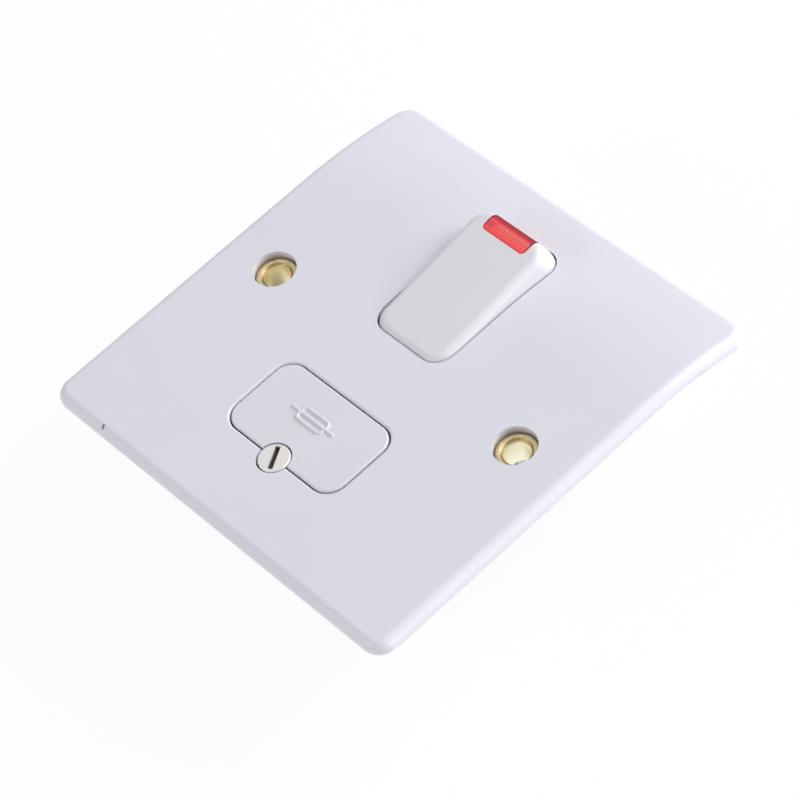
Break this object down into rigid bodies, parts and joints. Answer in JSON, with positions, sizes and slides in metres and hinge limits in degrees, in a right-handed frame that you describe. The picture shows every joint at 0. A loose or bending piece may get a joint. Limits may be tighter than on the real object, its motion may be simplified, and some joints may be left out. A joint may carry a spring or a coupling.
{
  "type": "switched fused spur unit",
  "caption": "Square white wall plate with a neon rocker switch, a withdrawable fuse carrier held by a slotted screw, brass fixing eyelets and a rear terminal housing.",
  "frame": {"origin": "centre of the plate on the wall plane, midway between the fixing holes", "axes": "+Z out of the plate's face, +Y towards the rocker end, +X to the right seen from the front"},
  "size_m": [0.084, 0.084, 0.0334],
  "materials": {
    "white_moulding": "satin white urea moulding",
    "housing_moulding": "matt white moulding",
    "red_lens": "clear red lens",
    "brass": "bright brass",
    "copper": "rolled copper alloy",
    "silver": "silver contact face",
    "zinc_steel": "zinc-plated steel",
    "nickel": "satin nickel plate",
    "fuse_ceramic": "unglazed tube",
    "fuse_cap": "plated fuse cap",
    "lamp_glass": "clear lamp glass",
    "resistor_body": "lacquered resistor",
    "spring_steel": "spring steel",
    "tinned_wire": "tinned wire"
  },
  "bodies": {
    "unit": {"front_plate": "white_moulding", "rear_housing": "housing_moulding", "fixing_eyelets": "brass", "earth_strap": "brass", "earth_terminals": "brass", "line_supply_terminal": "brass", "line_load_terminal": "brass", "neutral_supply_terminal": "brass", "neutral_load_terminal": "brass", "terminal_screws": "zinc_steel", "housing_screws": "zinc_steel", "line_contact": "brass", "neutral_contact": "brass", "fixed_tips": "silver", "line_busbar": "copper", "load_busbar": "copper", "neutral_busbar": "copper", "screw_insert": "brass", "neon_lamp": "lamp_glass", "neon_resistor": "resistor_body", "lamp_leads": "tinned_wire"},
    "rocker_body": {"rocker": "white_moulding", "neon_lens": "red_lens", "plungers": "housing_moulding", "plunger_springs": "spring_steel"},
    "contacts": {"line_bridge": "copper", "neutral_bridge": "copper", "bridge_tips": "silver"},
    "carrier": {"fuse_carrier": "white_moulding", "fuse_barrel": "fuse_ceramic", "fuse_caps": "fuse_cap"},
    "retaining_screw": {"carrier_screw": "nickel"}
  },
  "joints": [
    {"name": "rocker_tilt", "type": "hinge", "parent": "unit", "child": "rocker_body", "pos_m": [0, 0.0174, 0.0035], "axis": [1, 0, 0], "range_deg": [-16, 0]},
    {"name": "contact_tilt", "type": "hinge", "parent": "unit", "child": "contacts", "pos_m": [0, 0.0174, -0.0105], "axis": [1, 0, 0], "range_deg": [0, 18]},
    {"name": "carrier_slide", "type": "slide", "parent": "unit", "child": "carrier", "axis": [0, 0, 1], "range_m": [0, 0.024]},
    {"name": "carrier_screw_turn", "type": "hinge", "parent": "carrier", "child": "retaining_screw", "pos_m": [0, -0.0268, 0.008], "axis": [0, 0, 1], "continuous": true}
  ],
  "couplings": [
    {"joint": "contact_tilt", "follows": "rocker_tilt", "ratio": -1.125}
  ]
}
